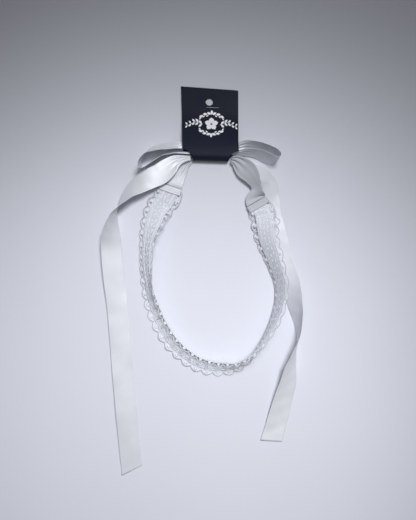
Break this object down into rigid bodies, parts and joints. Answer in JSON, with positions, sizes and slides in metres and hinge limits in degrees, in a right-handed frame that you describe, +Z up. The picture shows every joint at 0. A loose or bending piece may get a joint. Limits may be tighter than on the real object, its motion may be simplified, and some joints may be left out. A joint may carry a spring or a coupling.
{
  "type": "lace headband",
  "caption": "Lace headband with satin ribbon ties, tied in a bow inside a folded, stapled display card that has a hang hole.",
  "frame": {"origin": "centre of the bounding box, on the surface the part lies on", "axes": "+Y from the tail ends towards the card's hang hole, +X towards the wearer-side tie shown on the right, +Z up off the table"},
  "size_m": [0.189, 0.3724, 0.0279],
  "materials": {
    "satin": "white polyester satin ribbon, smooth sheen along its length",
    "lace": "white openwork galloon lace, matt thread",
    "board": null,
    "steel": "bright staple wire",
    "thread": "white sewing thread"
  },
  "bodies": {
    "card": {"header_card": "board", "staple": "steel", "bow_knot": "satin", "left_gather": "satin", "right_gather": "satin", "left_loop": "satin", "right_loop": "satin"},
    "band": {"lace_band": "lace", "left_leg": "satin", "right_leg": "satin", "left_tab": "satin", "right_tab": "satin", "left_tab_stitches": "thread", "right_tab_stitches": "thread"},
    "left_tail": {"left_tail": "satin"},
    "right_tail": {"right_tail": "satin"}
  },
  "joints": [
    {"name": "band_swing", "type": "hinge", "parent": "card", "child": "band", "pos_m": [0.00937, 0.11709, 0.0044], "axis": [1, 0, 0], "range_deg": [-10, 40]},
    {"name": "left_tail_lift", "type": "hinge", "parent": "band", "child": "left_tail", "pos_m": [-0.00863, 0.11709, 0.0062], "axis": [1, 0, 0], "range_deg": [-5, 0]},
    {"name": "right_tail_droop", "type": "hinge", "parent": "band", "child": "right_tail", "pos_m": [0.02737, 0.11709, 0.003], "axis": [1, 0, 0], "range_deg": [0, 20]}
  ]
}
